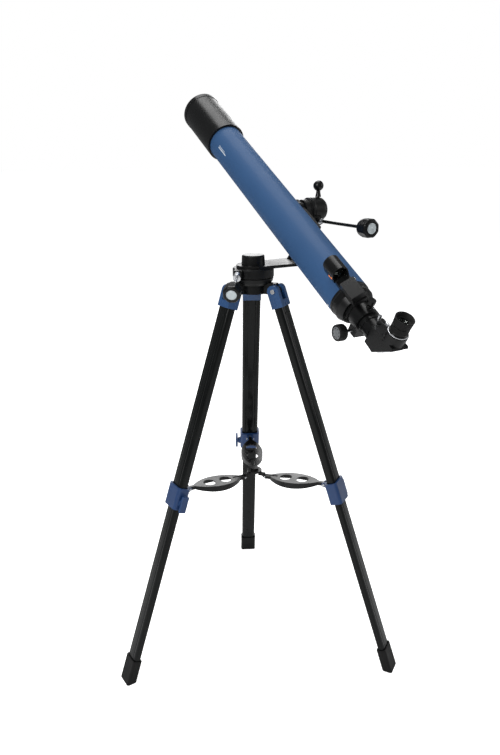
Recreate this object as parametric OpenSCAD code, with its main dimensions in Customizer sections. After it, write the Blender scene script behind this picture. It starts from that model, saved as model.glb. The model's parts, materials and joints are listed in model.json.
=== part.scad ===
// Refractor telescope on a single-arm altitude and azimuth mount with a folding tripod.
// Every piece is drawn about the azimuth axis with the ground at z = 0, then moved so that the
// origin lies at the middle of the footprint box. Lengths are millimetres, angles degrees.

/* [Optical tube] */
// Outside diameter of the main tube
tube_od = 76; // [60:1:90]
// Wall of the main tube
tube_wall = 1.2; // [0.8:0.1:2]
// Length of tube ahead of the altitude axis
tube_front = 268; // [220:1:320]
// Length of tube behind the altitude axis
tube_rear = 270; // [220:1:320]
// Outside diameter of the dew shield
dew_od = 85.6; // [84:0.2:100]
// Length of the dew shield
dew_len = 141.5; // [100:0.5:180]
// Diameter of the objective lens
lens_od = 70; // [50:1:70]
// Angle of the tube above the horizon at rest
altitude = 29.5; // [0:0.5:45]

/* [Focuser and eyepiece] */
// Outside diameter of the drawtube
draw_od = 38; // [36:0.5:42]
// Bore of the eyepiece fittings
eye_bore = 31.75; // [31.75:0.01:32]
// Diameter of the focus knobs
focus_knob_d = 30; // [24:1:36]
// Distance from the rear of the tube to the eyepiece axis
diagonal_back = 132; // [125:1:150]
// Height of the eyecup rim above the optical axis
eyecup_top = 69; // [62:1:80]

/* [Mount] */
// Height of the altitude axis above the ground
altitude_h = 961; // [900:1:1040]
// Distance of the optical axis from the azimuth axis
tube_offset = 62.7; // [60:0.1:80]
// Distance of the arm plate from the optical axis
arm_gap = 50; // [46:0.5:60]
// Thickness of the arm plate
arm_t = 12; // [10:1:16]
// Diameter of the altitude drum
drum_d = 49; // [44:1:60]
// Length of the altitude drum
drum_len = 41; // [36:1:50]
// Diameter of the slow-motion knobs
slow_knob_d = 36; // [28:1:44]
// Diameter of the ball on the altitude lock
lock_ball_d = 21; // [16:1:26]

/* [Tripod] */
// Height of the leg hinges above the ground
hinge_h = 812.8; // [700:1:900]
// Distance of the leg hinges from the azimuth axis
hinge_r = 51.4; // [48:0.1:60]
// Distance of the feet from the azimuth axis
foot_r = 328; // [260:1:380]
// Direction of the first leg, counted from the arm
leg_turn = -55.6; // [-60:0.1:-50]
// Width of the upper leg section
leg_w = 38; // [32:1:44]
// Depth of the upper leg section
leg_d = 20; // [18:1:26]
// Distance along a leg from its hinge to the spreader pivot
spread_u = 418; // [340:1:440]
// Width of a spreader arm
spread_w = 50; // [44:1:56]
// Diameter of the accessory holes in the spreader arms
accessory_d = 26; // [20:1:34]
// Angle through which the legs fold
fold_angle = 14; // [10:1:15]

/* [Hidden] */
$fn = 64;

black = "#1a1b1d";
blue = "#2c5288";
deep_blue = "#1c3a66";
chrome = "#c8ccd0";
run = 0.05;   // radial clearance of a shaft that turns or slides in its bore
gap = 0.4;    // clearance between pieces that move past each other
seat = 0.02;  // radial clearance of a piece that is glued or pressed in

// Optical tube: s runs forward from the altitude axis, along the optical axis.
tube_r = tube_od / 2;
tube_in = tube_r - tube_wall;
dew_r = dew_od / 2;
dew_wall = 1.5;
cell_r = dew_r - dew_wall - seat;
cell_front = tube_front + 24;
lens_r = lens_od / 2;
lens_back = tube_front + 4;
lens_rim = 8;
lens_seat = 4;
cell_wall = 5;
cell_bore = min(tube_in - seat - cell_wall, lens_r - lens_seat);
lens_arc = 430;
cell_step = 20;
rear_end = -tube_rear - 32;
housing_r = 24;
housing_end = rear_end - 32;
draw_r = draw_od / 2;
draw_start = -tube_rear + 75;
draw_end = housing_end - 4;
holder_r = 17.5;
holder_end = draw_end - 22;
eye_r = eye_bore / 2;
draw_bore_r = eye_r + 0.5;
pinion_s = -tube_rear - 54;
pinion_drop = 26;
pinion_r = 6;
knob_in = 34;
knob_len = 17;
mirror_s = -tube_rear - diagonal_back;
diag_half = 17;
eye_seat = 24;
screw_r = 2;

// Mount
arm_x = tube_offset + arm_gap;
drum_x = arm_x + arm_t;
drum_r = drum_d / 2;
axle_r = 7;
wheel_r = 14;
worm_r = 5.5;
worm_gap = wheel_r + worm_r + gap;
wheel_mid = drum_x + 12;
altitude_worm_z = altitude_h - worm_gap;
altitude_rod_end = 168;
slow_knob_len = 30;
rod_r = 2.6;
head_bottom = hinge_h + 10.2;
head_top = hinge_h + 24;
head_r = 41.4;
plate_t = 6;
disc_top = hinge_h + 48.4;
plate_under = disc_top - plate_t;
cap_top = disc_top + 19.4;
cap_lip = 4;
cap_r = 23.5;
spindle_r = 6;
az_wheel_r = 18;
az_worm_z = head_top + 9.6;
az_worm_turn = -127;
az_worm_off = -(az_wheel_r + worm_r + gap);
az_ball_out = 52;
az_droop = 18;
az_rod_len = 46;
ball_r = 5;

// Tripod: u runs down a leg from its hinge, w away from the azimuth axis.
splay = atan((foot_r - hinge_r) / hinge_h);
leg_len = hinge_h / cos(splay);
tongue_w = 16;
yoke_r = 12;
pin_r = 3;
leg_wall = 1.6;
leg_start = 34;
collar_u = spread_u + 4;
collar_len = 46;
upper_end = collar_u + 32.9;
collar_wall = 4;
lower_w = leg_w - 2 * leg_wall - 2 * gap;
lower_d = leg_d - 2 * leg_wall - 2 * gap;
lower_start = upper_end - 60;
spread_in = leg_d / 2 + collar_wall + 8;
foot_up = 52;
boot_wall = 2.4;
lock_u = collar_u + 20;
lever_w = 14;
lever_len = 34;
lever_t = 5;
hub_r = 24;
hub_drop = 13;
finger_w = 7;
finger_e = 4;
leaf_in = 16;
spread_r = hinge_r - spread_in * cos(splay) + spread_u * sin(splay);
spread_z = hinge_h - spread_in * sin(splay) - spread_u * cos(splay);
hub_z = spread_z - hub_drop;
arm_span = spread_r - hub_r;
arm_len = sqrt(arm_span * arm_span + hub_drop * hub_drop);
arm_tilt = atan(hub_drop / arm_span);

// Middle of the footprint box of the whole object, in plan.
foot_reach = 21;
left_x = foot_r * cos(leg_turn + 240) - foot_reach;
right_x = foot_r * cos(leg_turn) + foot_reach;
front_y = (tube_front + dew_len) * cos(altitude) + dew_r * sin(altitude);
back_y = (mirror_s - 20) * cos(altitude) - eyecup_top * sin(altitude);
centre_x = (left_x + max(right_x, drum_x + drum_len)) / 2;
centre_y = (front_y + back_y) / 2;

module place() { translate([-centre_x, -centre_y, 0]) children(); }
module ota() {
  place() translate([tube_offset, 0, altitude_h]) rotate([altitude, 0, 0]) children();
}
// A solid of revolution about the optical axis, with its profile as [radius, s].
module turned() { ota() rotate([-90, 0, 0]) rotate_extrude($fn = 96) children(); }
module across(x0, x1, r) { translate([x0, 0, 0]) rotate([0, 90, 0]) cylinder(r = r, h = x1 - x0); }
module ring(r_out, r_in, s0, s1) {
  polygon([[r_in, s0], [r_out, s0], [r_out, s1], [r_in, s1]]);
}
module rounded(w, d, r) {
  square([w - 2 * r, d], center = true);
  square([w, d - 2 * r], center = true);
  for (x = [-1, 1], y = [-1, 1])
    translate([x * (w / 2 - r), y * (d / 2 - r)]) circle(r = r);
}

// ---------------------------------------------------------------- optical tube
module main_tube() {
  color(blue) turned() ring(tube_r, tube_in, -tube_rear, tube_front);
}
module dew_shield() {
  color(black) turned() union() {
    ring(dew_r, dew_r - dew_wall, tube_front + gap, tube_front + dew_len - 3);
    ring(dew_r + 0.8, dew_r - dew_wall, tube_front + dew_len - 10, tube_front + dew_len);
  }
}
module objective_cell() {
  color(black) turned() difference() {
    union() {
      ring(tube_in - seat, cell_bore, tube_front - cell_step, tube_front + 1);
      ring(cell_r, cell_bore, tube_front + gap / 2, cell_front);
    }
    ring(lens_r + seat, 0, lens_back, cell_front + 1);
  }
}
// One lens as a half profile: two shallow arcs, each bulging by the sagitta of its own radius.
function sag(r, radius) = radius - sqrt(radius * radius - r * r);
function bulge(r) = sag(lens_r, lens_arc) - sag(r, lens_arc);
function lens_face(s, way) = [for (k = [0:8]) [lens_r * k / 8, s + way * bulge(lens_r * k / 8)]];
function reversed(v) = [for (k = [len(v) - 1:-1:0]) v[k]];
module objective_lens() {
  color("lightcyan", 0.4) turned() {
    polygon(concat(lens_face(lens_back + 0.5, -1), reversed(lens_face(lens_back + 3.5, -1))));
    polygon(concat(lens_face(lens_back + 3.7, -1), reversed(lens_face(lens_back + lens_rim, 1))));
  }
}
module lens_ring() {
  color(black) turned() ring(lens_r, lens_r - 2.5, lens_back + lens_rim + 0.3, cell_front - 4);
}
module rear_cell() {
  color(black) difference() {
    turned() difference() {
      polygon([[0, rear_end], [housing_r + 7, rear_end], [tube_r - 1.2, -tube_rear - 19],
        [tube_r - 1.2, -tube_rear - 5], [tube_r, -tube_rear - 4], [tube_r, -tube_rear],
        [tube_in - seat, -tube_rear], [tube_in - seat, -tube_rear + 14], [0, -tube_rear + 14]]);
      ring(housing_r - 3 + seat, 0, rear_end - 1, -tube_rear + 20);
      ring(tube_in - 6, 0, -tube_rear - 16, -tube_rear + 20);
    }
    rack_slot();
  }
}
// Channel for the rack of the drawtube.
module rack_slot() {
  ota() translate([-4, housing_end - 1, -draw_r - 3.2]) cube([8, rear_end - housing_end + 22, 8]);
}
module focuser_housing() {
  color(black) difference() {
    union() {
      turned() union() {
        ring(housing_r - 3, draw_r, rear_end - 3, -tube_rear - 12);
        ring(housing_r, draw_r, housing_end, rear_end - 0.1);
        ring(housing_r + 2, draw_r, rear_end - 6, rear_end - 0.1);
      }
      ota() translate([-15, pinion_s - 9, -pinion_drop - 9]) cube([30, 21, 24]);
      ota() translate([0, housing_end + 12, housing_r - 3]) cylinder(r = 5.5, h = 7);
    }
    turned() ring(draw_r + run, 0, housing_end - 1, 0);
    rack_slot();
    ota() translate([0, pinion_s, -pinion_drop]) across(-16, 16, 2.5 + run);
    ota() translate([0, pinion_s, -pinion_drop]) across(-7, 7, pinion_r + gap);
    ota() translate([0, housing_end + 12, 0]) cylinder(r = screw_r + run, h = 60);
  }
}
module pinion_shaft() {
  color(chrome) ota() translate([0, pinion_s, -pinion_drop]) {
    across(-knob_in - 14, knob_in + 14, 2.5);
    rotate([0, 90, 0]) translate([0, 0, -6]) linear_extrude(12) {
      circle(r = pinion_r - 2.6);
      for (k = [0:11]) rotate(k * 30) translate([pinion_r - 3.4, -0.45]) square([2.9, 0.9]);
    }
  }
}
module focus_knob() {
  rotate_extrude() difference() {
    polygon([[0, 0], [focus_knob_d / 2 - 3, 0], [focus_knob_d / 2, 2.5], [focus_knob_d / 2, knob_len - 2.5],
      [focus_knob_d / 2 - 1.5, knob_len], [focus_knob_d / 2 - 3, knob_len],
      [focus_knob_d / 2 - 4, knob_len - 1.2], [0, knob_len - 1.2]]);
    translate([-1, -1]) square([1 + 2.5 + seat, 15.2]);
  }
}
module focus_knobs() {
  color(black) ota() translate([0, pinion_s, -pinion_drop]) {
    translate([knob_in, 0, 0]) rotate([0, 90, 0]) focus_knob();
    translate([-knob_in, 0, 0]) rotate([0, -90, 0]) focus_knob();
  }
}
module thumb_screw(reach, head_r, head_len) {
  cylinder(r = screw_r, h = reach);
  translate([0, 0, reach - 0.1]) cylinder(r = head_r, h = head_len);
}
module draw_lock() {
  color(black) ota() translate([0, housing_end + 12, draw_r + gap]) thumb_screw(13, 7.5, 7);
}
// The drawtube carries its moulded rack along the underside.
module drawtube() {
  color(black) {
    turned() ring(draw_r, draw_r - 2, draw_end, draw_start);
    ota() difference() {
      translate([-3, draw_end + 6, -draw_r - 2.6]) cube([6, draw_start - draw_end - 12, 3]);
      for (k = [0:41])
        translate([-4, pinion_s - 1.15 + (k - 5) * PI * pinion_r / 6, -draw_r - 3]) cube([8, 2.3, 2.2]);
    }
  }
}
module eyepiece_holder() {
  color(black) difference() {
    turned() union() {
      ring(draw_r - 2 - seat, draw_bore_r, draw_end - 1, draw_end + 14);
      ring(draw_r + 1.5, draw_bore_r, draw_end - 5, draw_end - 0.1);
      ring(holder_r + 1.5, eye_r + run, holder_end, draw_end - 1);
    }
    ota() translate([0, holder_end + 7, 0]) cylinder(r = screw_r + run, h = 60);
  }
}
module holder_screw() {
  color(chrome) ota() translate([0, holder_end + 7, eye_r + gap]) thumb_screw(9, 3.6, 6);
}
// ------------------------------------------------------- star diagonal, eyepiece
module diagonal_profile() {
  polygon([[holder_end - gap, -diag_half - 1], [holder_end - gap, diag_half + 1],
    [mirror_s + diag_half + 1, diag_half + 4],
    [mirror_s - diag_half - 1, diag_half + 4], [mirror_s - diag_half - 4, diag_half + 1],
    [mirror_s + diag_half, -diag_half - 3]]);
}
module diagonal_body() {
  color(black) ota() difference() {
    union() {
      translate([-diag_half, 0, 0]) rotate([90, 0, 90]) linear_extrude(2 * diag_half) diagonal_profile();
      rotate([-90, 0, 0]) translate([0, 0, holder_end - 1]) cylinder(r = eye_r, h = 26);
      translate([0, mirror_s, diag_half]) cylinder(r = holder_r + 1.5, h = eye_seat - diag_half + 13);
    }
    rotate([-90, 0, 0]) translate([0, 0, mirror_s]) cylinder(r = 13.5, h = 60);
    translate([0, mirror_s, 0]) cylinder(r = 13.5, h = 60);
    translate([0, mirror_s, eye_seat - 14]) cylinder(r = eye_r + run, h = 60);
    translate([0, mirror_s, 0]) rotate([-45, 0, 0]) translate([-13, -17, -4]) cube([26, 34, 3.4]);
    translate([0, mirror_s + 10, eye_seat + 6]) rotate([-90, 0, 0]) cylinder(r = screw_r + run, h = 20);
  }
}
module diagonal_mirror() {
  color("silver") ota() translate([0, mirror_s, 0]) rotate([-45, 0, 0])
    translate([-13 + run, -17 + run, -4 + run]) cube([26 - 2 * run, 34 - 2 * run, 3]);
}
module diagonal_screw() {
  color(chrome) ota() translate([0, mirror_s + eye_r + gap, eye_seat + 6]) rotate([-90, 0, 0])
    thumb_screw(8, 3.4, 6);
}
module eyepiece_turned() {
  ota() translate([0, mirror_s, 0]) rotate_extrude() children();
}
eye_rest = eye_seat + 13 + gap / 2;
module eyepiece_body() {
  color(black) eyepiece_turned() difference() {
    union() {
      ring(eye_r, 0, eye_seat - 12, eye_rest + 1);
      polygon([[0, eye_rest], [eye_r + 1.6, eye_rest], [eye_r + 1.6, eye_rest + 3], [eye_r - 0.6, eye_rest + 5],
        [eye_r - 0.6, eyecup_top - 16], [eye_r - 2.4, eyecup_top - 15], [eye_r - 2.4, eyecup_top - 9],
        [0, eyecup_top - 9]]);
    }
    ring(eye_r - 1.2, 0, eye_seat - 13, eye_rest - 4);
    ring(9, 0, eye_seat - 13, eyecup_top);
  }
}
module eyepiece_lenses() {
  color("lightcyan", 0.4) eyepiece_turned() {
    ring(9 - seat, 0, eye_rest, eye_rest + 5);
    ring(9 - seat, 0, eyecup_top - 14, eyecup_top - 10);
  }
}
module eyecup() {
  color("#222325") eyepiece_turned()
    polygon([[eye_r - 2.4 + seat, eyecup_top - 15 + gap], [eye_r + 0.4, eyecup_top - 15 + gap],
      [eye_r + 1.2, eyecup_top - 1], [eye_r + 0.4, eyecup_top], [eye_r - 1.6, eyecup_top - 1],
      [eye_r - 4, eyecup_top - 7], [9, eyecup_top - 7], [9, eyecup_top - 9 + run],
      [eye_r - 2.4 + seat, eyecup_top - 9 + run]]);
}
// ----------------------------------------------------------------------- finder
finder_turn = 33;
finder_front = -tube_rear + 44;
finder_len = 98;
module finder_frame() { ota() rotate([0, -finder_turn, 0]) children(); }
module finder_base() {
  color(black) finder_frame() difference() {
    translate([-12, finder_front - 80, tube_r - 3]) cube([24, 46, 9]);
    rotate([90, 0, 0]) cylinder(r = tube_r + seat, h = 800, center = true, $fn = 96);
    translate([-6.5, finder_front - 81, tube_r + 2.5]) cube([13, 48, 10]);
  }
}
module finder_body() {
  color(black) finder_frame() difference() {
    union() {
      translate([-6.2, finder_front - 79, tube_r + 2.8]) cube([12.4, 44, 6]);
      translate([-13, finder_front - finder_len, tube_r + 6.2]) cube([26, finder_len, 7]);
      translate([-13, finder_front - finder_len + 2, tube_r + 13]) cube([26, 40, 14]);
      translate([0, finder_front - 34, tube_r + 21]) rotate([-90, 0, 0]) cylinder(r = 15, h = 34);
      translate([-15, finder_front - 34, tube_r + 8]) cube([30, 34, 14]);
    }
    translate([0, finder_front - 35, tube_r + 21]) rotate([-90, 0, 0]) cylinder(r = 12.5, h = 36);
    translate([-11, finder_front - 35, tube_r + 15]) cube([22, 36, 6]);
    translate([0, finder_front - finder_len + 12, tube_r + 20]) across(10, 14, 2 + run);
  }
}
module finder_dial() {
  color(black) finder_frame() translate([0, finder_front - finder_len + 12, tube_r + 20]) {
    across(10.2, 15, 2);
    across(13.2, 17.5, 6);
  }
}
// ------------------------------------------------------------------------ mount
module tripod_head() {
  color(black) place() difference() {
    union() {
      translate([0, 0, head_bottom]) rotate_extrude($fn = 96) polygon([[0, 0], [34, 0], [39, 6],
        [head_r - 0.8, head_top - head_bottom - 1.4], [head_r - 2, head_top - head_bottom],
        [0, head_top - head_bottom]]);
      for (k = [0:2]) rotate(leg_turn + 120 * k) {
        translate([22, -tongue_w / 2, hinge_h - 8]) cube([hinge_r - 22, tongue_w, 22]);
        translate([hinge_r, tongue_w / 2, hinge_h]) rotate([90, 0, 0]) cylinder(r = 8, h = tongue_w);
      }
      translate([0, 0, hinge_h - 8]) cylinder(r = 28, h = 20);
    }
    translate([0, 0, hinge_h - 9]) cylinder(r = spindle_r + seat, h = 80);
    for (k = [0:2]) rotate(leg_turn + 120 * k)
      translate([hinge_r, 30, hinge_h]) rotate([90, 0, 0]) cylinder(r = pin_r + run, h = 60);
    translate([0, 0, hinge_h - 9]) cylinder(r = 22, h = 12);
  }
}
module azimuth_spindle() {
  color(chrome) place() {
    translate([0, 0, hinge_h - 2]) cylinder(r = spindle_r, h = cap_top - hinge_h - 4);
    translate([0, 0, hinge_h - 4]) cylinder(r = 10, h = 7, $fn = 6);
    translate([0, 0, disc_top + cap_lip + gap]) cylinder(r = 9, h = 6, $fn = 6);
  }
}
module leg_pins() {
  color(chrome) place() for (k = [0:2]) rotate(leg_turn + 120 * k)
    translate([hinge_r, leg_w / 2 + 1.5, hinge_h]) rotate([90, 0, 0]) {
      cylinder(r = pin_r, h = leg_w + 3);
      cylinder(r = 4.6, h = 1.4);
      translate([0, 0, leg_w + 1.6]) cylinder(r = 4.6, h = 1.4);
    }
}
module arm_plate() {
  circle(r = 34);
  polygon([[0, -34], [arm_x + arm_t, -37], [arm_x + arm_t, 37], [0, 34]]);
}
// Turntable, arm plate and upright in one casting, hollow below for the worm and its wheel.
module mount_arm() {
  color(black) place() difference() {
    union() {
      translate([0, 0, head_top + gap]) rotate_extrude($fn = 96) polygon([[0, 0], [head_r - 1.4, 0], [head_r, 1.4],
        [head_r, plate_under - head_top - 2], [head_r - 1.6, plate_under - head_top + 0.1],
        [0, plate_under - head_top + 0.1]]);
      translate([0, 0, plate_under]) linear_extrude(plate_t) arm_plate();
      translate([0, 0, disc_top]) cylinder(r = cap_r - 2.5, h = cap_lip);
      translate([arm_x, 0, 0]) rotate([90, 0, 90]) linear_extrude(arm_t) {
        polygon([[-37, plate_under], [-28, disc_top + 14], [-21, altitude_h], [21, altitude_h],
          [28, disc_top + 14], [37, plate_under]]);
        translate([0, altitude_h]) circle(r = 21);
      }
      for (y = [-1, 1]) translate([arm_x - 18, y * 24 + 2.5, disc_top - 0.1]) rotate([90, 0, 0])
        linear_extrude(5) polygon([[0, 0], [19, 0], [19, 26]]);
      rotate(az_worm_turn) translate([20, az_worm_off - 8, az_worm_z - 8]) cube([24, 16, 16.8]);
    }
    translate([0, 0, head_top]) cylinder(r = az_wheel_r + gap, h = az_worm_z - head_top + 4 + gap);
    rotate(az_worm_turn) {
      translate([-10, az_worm_off - worm_r - gap, head_top - 1]) cube([20, 12, az_worm_z - head_top + worm_r + gap + 1]);
      translate([-20.5, az_worm_off, az_worm_z]) rotate([0, 90, 0]) cylinder(r = 3 + run, h = 80);
    }
    translate([0, 0, head_top - 1]) cylinder(r = spindle_r + run, h = 60);
    translate([arm_x - 1, 0, altitude_h]) across(0, arm_t + 2, axle_r + run);
    for (y = [-1, 1], z = [-1, 1]) translate([arm_x, y * 11, altitude_h + z * 11]) {
      across(-1, arm_t + 2, 1.7);
      across(-1, 2.4, 3.2);
    }
  }
}
module azimuth_cap() {
  color(black) place() translate([0, 0, disc_top]) rotate_extrude() difference() {
    polygon([[0, 0.1], [cap_r, 0.1], [cap_r - 0.9, cap_top - disc_top - 2], [cap_r - 3, cap_top - disc_top],
      [0, cap_top - disc_top]]);
    square([cap_r - 2.5 + seat, cap_lip + 0.2]);
    square([12, cap_top - disc_top - 2.5]);
  }
}
// Worm wheel pressed on the spindle, standing on the tripod head.
module azimuth_wheel() {
  color("goldenrod") place() difference() {
    union() {
      translate([0, 0, az_worm_z - 4]) rotate(3) linear_extrude(8) {
        circle(r = az_wheel_r - 1.6);
        for (k = [0:35]) rotate(k * 10) translate([az_wheel_r - 2.2, -0.7]) square([2.2, 1.4]);
      }
      translate([0, 0, head_top]) cylinder(r = 11, h = az_worm_z - head_top);
    }
    translate([0, 0, head_top - 1]) cylinder(r = spindle_r + seat, h = 40);
  }
}
module altitude_drum() {
  color(black) place() translate([drum_x, 0, altitude_h]) difference() {
    union() {
      rotate([0, 90, 0]) rotate_extrude($fn = 96) polygon([[0, 0], [drum_r - 2, 0], [drum_r - 2, 2.5],
        [drum_r, 3], [drum_r, 6], [drum_r - 0.8, 6.8], [drum_r - 0.8, 8], [drum_r, 8.8], [drum_r, drum_len - 12],
        [drum_r - 1.6, drum_len - 7], [drum_r - 5, drum_len - 2.5], [drum_r - 10, drum_len], [0, drum_len]]);
      translate([12 - 9, -24, -worm_gap - 9]) cube([18, 48, 18]);
    }
    across(-1, wheel_mid - drum_x + 7, wheel_r + gap);
    across(-1, drum_len - 8, axle_r + run);
    translate([12, 20.5, -worm_gap]) rotate([90, 0, 0]) cylinder(r = 3 + run, h = 100);
    translate([12, 15, -worm_gap]) rotate([90, 0, 0]) cylinder(r = worm_r + gap, h = 30);
    for (y = [-1, 1], z = [-1, 1]) translate([0, y * 11, z * 11]) across(-1, 2, 1.7);
    translate([28, 0, 0]) cylinder(r = 3 + run, h = 60);
  }
}
module arm_screws() {
  color(chrome) place() for (y = [-1, 1], z = [-1, 1])
    translate([arm_x + 0.3, y * 11, altitude_h + z * 11]) {
      across(0, arm_t + 1.4, 1.65);
      across(0, 2, 3);
    }
}
// A worm on its shaft, with a ball at the outer end for the control rod's socket.
module worm_shaft(out) {
  translate([-20, 0, 0]) rotate([0, 90, 0]) cylinder(r = 3, h = out + 20 - ball_r + 1);
  translate([-9, 0, 0]) rotate([0, 90, 0]) rotate_extrude() {
    square([worm_r - 2.4, 18]);
    for (k = [0:4]) translate([0, 1.5 + k * 3.14]) square([worm_r, 1.4]);
  }
}
module azimuth_worm() {
  color(chrome) place() rotate(az_worm_turn) translate([0, az_worm_off, az_worm_z]) {
    worm_shaft(az_ball_out);
    translate([az_ball_out, 0, 0]) sphere(r = ball_r);
  }
}
module azimuth_control() {
  place() rotate(az_worm_turn) translate([az_ball_out, az_worm_off, az_worm_z]) rotate([0, az_droop, 0])
    rotate([0, 90, 0]) children();
}
module azimuth_rod() {
  color(chrome) azimuth_control() difference() {
    union() {
      translate([0, 0, -2]) cylinder(r = ball_r + 2.6, h = 12);
      cylinder(r = rod_r, h = az_rod_len + 10);
    }
    sphere(r = ball_r + run);
    translate([0, 0, -8]) cylinder(r = ball_r - 0.1, h = 8);
  }
}
module slow_knob() {
  rotate_extrude() difference() {
    polygon([[0, 0], [8, 0], [slow_knob_d / 2 - 5, 2], [slow_knob_d / 2 - 1, 8], [slow_knob_d / 2, 14],
      [slow_knob_d / 2, slow_knob_len - 5], [slow_knob_d / 2 - 2, slow_knob_len - 1],
      [slow_knob_d / 2 - 5, slow_knob_len], [0, slow_knob_len]]);
    translate([-1, -1]) square([1 + rod_r + seat, 11.2]);
  }
}
module azimuth_knob() { color(black) azimuth_control() translate([0, 0, az_rod_len]) slow_knob(); }
module altitude_worm() {
  color(chrome) place() translate([wheel_mid, 0, altitude_worm_z]) rotate(-90) {
    worm_shaft(34);
    translate([26, 0, 0]) rotate([0, 90, 0]) cylinder(r = 5.5, h = 12);
    rotate([0, 90, 0]) cylinder(r = rod_r, h = altitude_rod_end + 10);
  }
}
module altitude_knob() {
  color(black) place() translate([wheel_mid, -altitude_rod_end, altitude_worm_z]) rotate([90, 0, 0]) slow_knob();
}
// Ball-topped lever whose screw presses a pad onto the altitude axle.
module altitude_lock() {
  color(black) place() translate([drum_x + 28, 0, altitude_h]) {
    translate([0, 0, axle_r + gap]) cylinder(r = 3, h = drum_r - axle_r + 4);
    translate([0, 0, drum_r + gap]) rotate_extrude() polygon([[0, 0], [6, 0], [4.5, 8], [4, 14], [0, 14]]);
    translate([0, 0, drum_r + 12 + lock_ball_d / 2]) sphere(d = lock_ball_d);
  }
}
// Altitude axle with its worm wheel, moving with the tube.
module altitude_axle() {
  color("goldenrod") place() translate([0, 0, altitude_h]) {
    across(arm_x - 9, drum_x + drum_len - 9, axle_r);
    translate([wheel_mid - 4, 0, 0]) rotate([0, 90, 0]) linear_extrude(8) {
      circle(r = wheel_r - 1.6);
      for (k = [0:29]) rotate(k * 12) translate([wheel_r - 2.2, -0.7]) square([2.2, 1.4]);
    }
  }
}
module cradle() {
  color(black) ota() difference() {
    union() {
      translate([tube_r - 6, -78, -14]) cube([arm_gap - tube_r + 6 - 2.2, 96, 28]);
      across(tube_r, arm_gap - gap, 17);
    }
    rotate([90, 0, 0]) cylinder(r = tube_r + seat, h = 800, center = true, $fn = 96);
    across(arm_gap - 9, arm_gap + 9, axle_r + seat);
  }
}
// ----------------------------------------------------------------------- tripod
module leg(k) {
  place() rotate(leg_turn + 120 * (k - 1)) translate([hinge_r, 0, hinge_h]) rotate([0, -splay, 0]) children();
}
module down(u) { translate([0, 0, -u]) children(); }
module leg_yoke(k) {
  color(blue) leg(k) difference() {
    union() {
      translate([0, leg_w / 2, 0]) rotate([90, 0, 0]) cylinder(r = yoke_r, h = leg_w);
      translate([-leg_d / 2 - 2, -leg_w / 2, -leg_start]) cube([leg_d + 4, leg_w, leg_start]);
      down(leg_start + 30) linear_extrude(31)
        leg_section(leg_w - 2 * leg_wall - 2 * seat, leg_d - 2 * leg_wall - 2 * seat, 3);
    }
    translate([-30, -tongue_w / 2 - gap, -20]) cube([60, tongue_w + 2 * gap, 60]);
    translate([0, 40, 0]) rotate([90, 0, 0]) cylinder(r = pin_r + run, h = 80);
    down(leg_start + 31) linear_extrude(24) leg_section(leg_w - 12, leg_d - 9, 2);
  }
}
module leg_section(w, d, r) { rotate(90) rounded(w, d, r); }
module upper_leg(k) {
  color(black) leg(k) difference() {
    down(upper_end) linear_extrude(upper_end - leg_start - 0.1) difference() {
      leg_section(leg_w, leg_d, 5);
      leg_section(leg_w - 2 * leg_wall, leg_d - 2 * leg_wall, 3);
    }
    down(lock_u) rotate([-90, 0, 0]) cylinder(r = 3 + run, h = 60);
  }
}
module lower_leg(k) {
  color(black) leg(k) down(leg_len - 26) linear_extrude(leg_len - 26 - lower_start) difference() {
    leg_section(lower_w, lower_d, 3);
    leg_section(lower_w - 2.8, lower_d - 2.8, 1.6);
  }
}
module foot(k) {
  color("#141414") difference() {
    leg(k) difference() {
      down(leg_len + 14) linear_extrude(foot_up + 14) leg_section(lower_w + 2 * boot_wall, lower_d + 2 * boot_wall, 5);
      down(leg_len - 26) linear_extrude(foot_up) leg_section(lower_w + 2 * seat, lower_d + 2 * seat, 3);
    }
    place() translate([0, 0, -100]) cylinder(r = 2 * foot_r, h = 100);
  }
}
// Clamp at the foot of the upper section, with the ears that hold the spreader arm.
module leg_collar(k) {
  color(deep_blue) leg(k) difference() {
    union() {
      down(collar_u + collar_len - 10) linear_extrude(collar_len)
        leg_section(leg_w + 2 * collar_wall, leg_d + 2 * collar_wall, 7);
      down(lock_u) translate([0, leg_w / 2, 0]) rotate([-90, 0, 0]) cylinder(r = 8, h = collar_wall + 5);
      for (y = [-1, 1]) translate([0, y * (finger_w / 2 + gap + 1.5) + 1.5, 0]) rotate([90, 0, 0]) linear_extrude(3) {
        translate([-spread_in, -spread_u]) circle(r = 5);
        polygon([[-spread_in - 4, -spread_u - 3], [-spread_in + 2, -spread_u + 5], [-leg_d / 2 - 1, -spread_u + 5],
          [-leg_d / 2 - 1, -spread_u - 11]]);
      }
    }
    down(collar_u + collar_len - 13) linear_extrude(collar_len) leg_section(leg_w + 2 * seat, leg_d + 2 * seat, 5);
    down(collar_u + collar_len) linear_extrude(collar_len) leg_section(lower_w + 2 * gap, lower_d + 2 * gap, 3.4);
    down(lock_u) translate([0, 5, 0]) rotate([-90, 0, 0]) cylinder(r = 3 + run, h = 60);
    translate([-spread_in, 20, -spread_u]) rotate([90, 0, 0]) cylinder(r = 2 + seat, h = 40);
  }
  color(chrome) leg(k) translate([-spread_in, finger_w / 2 + gap + 4.5, -spread_u]) rotate([90, 0, 0])
    cylinder(r = 2, h = finger_w + 2 * gap + 9);
}
module leg_lock(k) {
  color(deep_blue) leg(k) down(lock_u) translate([0, lower_w / 2 + gap, 0]) rotate([-90, 0, 0]) {
    cylinder(r = 3, h = collar_wall + 12);
    translate([0, 0, leg_w / 2 - lower_w / 2 + collar_wall + 5]) {
      cylinder(r = 6, h = 3);
      translate([-lever_w / 2, -lever_len / 2, 1]) cube([lever_w, lever_len, lever_t]);
    }
  }
}
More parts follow.
